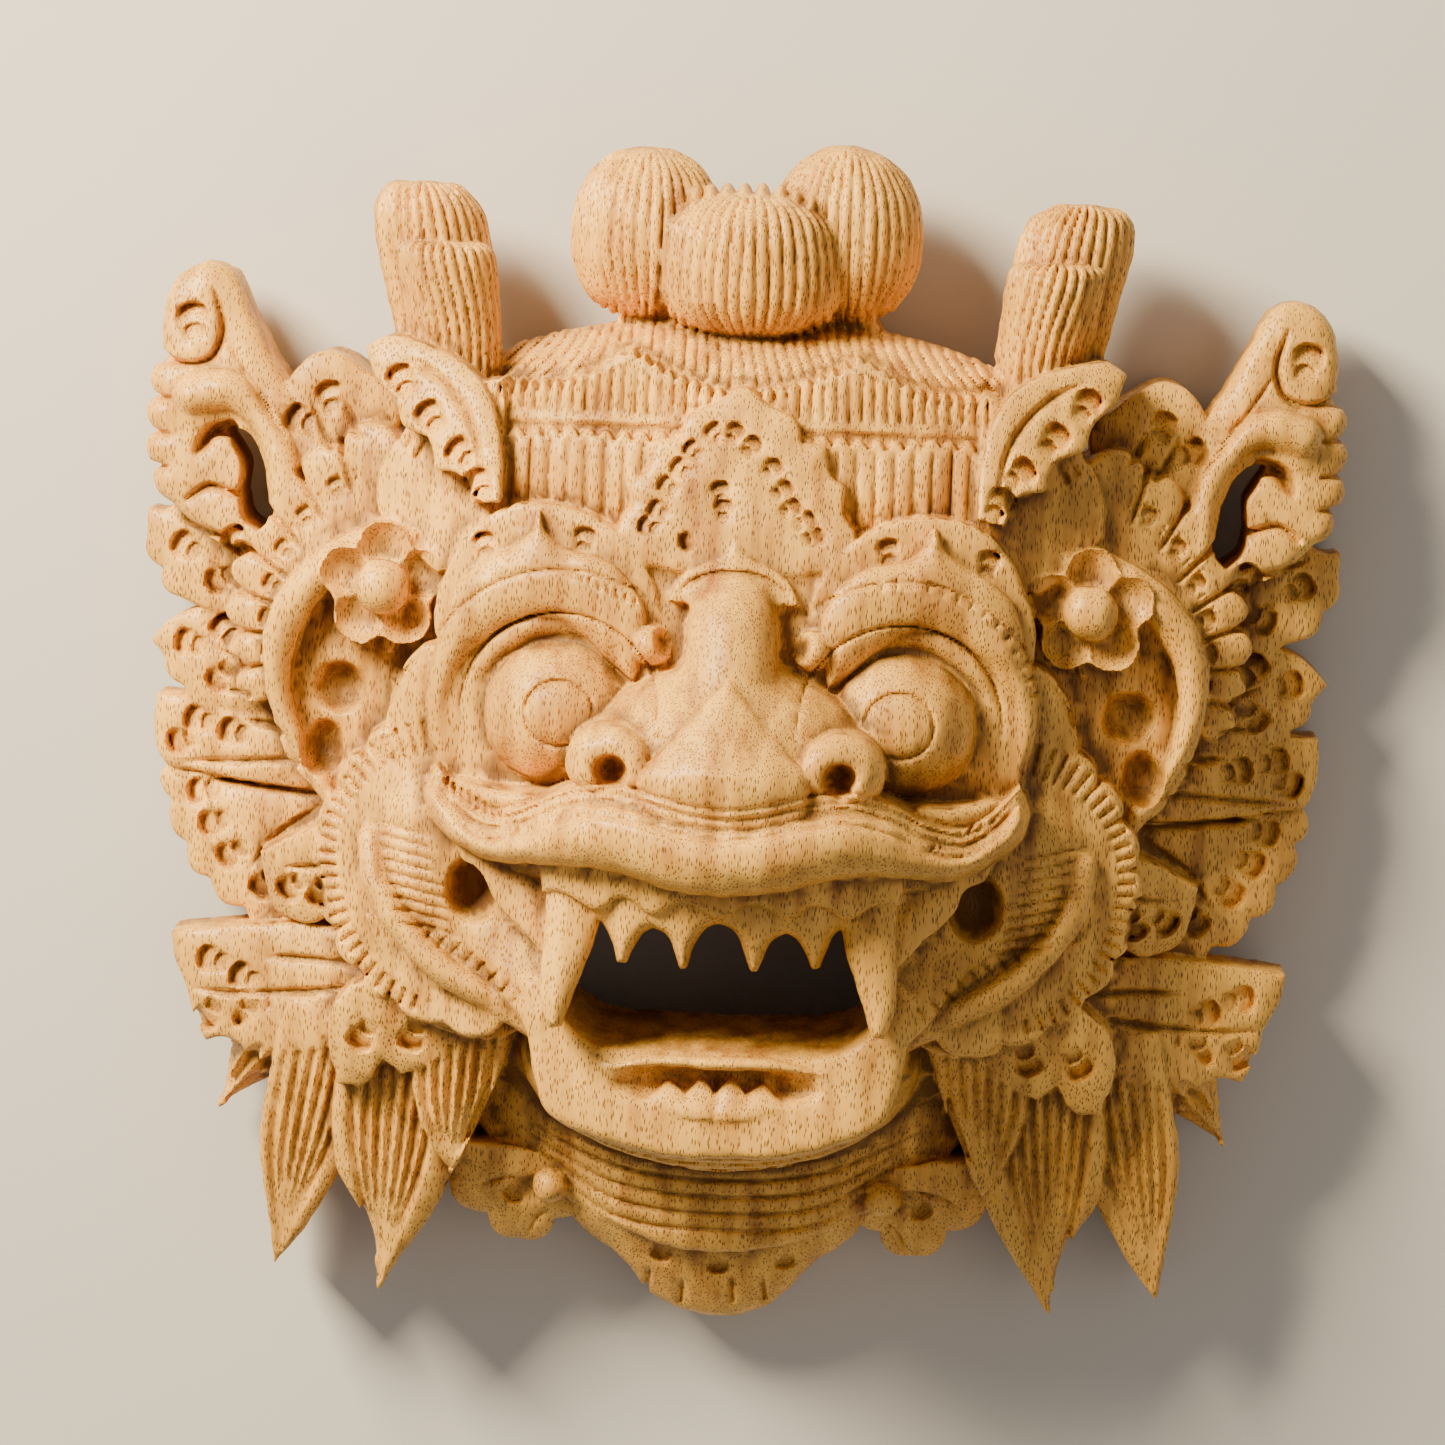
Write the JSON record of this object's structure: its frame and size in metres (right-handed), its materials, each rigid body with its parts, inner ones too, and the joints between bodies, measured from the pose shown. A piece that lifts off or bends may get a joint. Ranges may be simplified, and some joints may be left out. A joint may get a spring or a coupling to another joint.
{
  "type": "carved barong mask",
  "caption": "Carved wooden barong mask with bulging eyes, fanged open mouth, leafy rim and a fluted crown, hollow behind and flat-backed.",
  "frame": {"origin": "centre of the bounding box on the flat sawn back that the mask lies on", "axes": "+X to the viewer's right, +Y towards the crown, +Z out of the face"},
  "size_m": [0.2048, 0.2022, 0.0851],
  "materials": {
    "carved_wood": "hand carved, oiled, satin"
  },
  "bodies": {
    "root": {"mask": "carved_wood"}
  },
  "joints": []
}
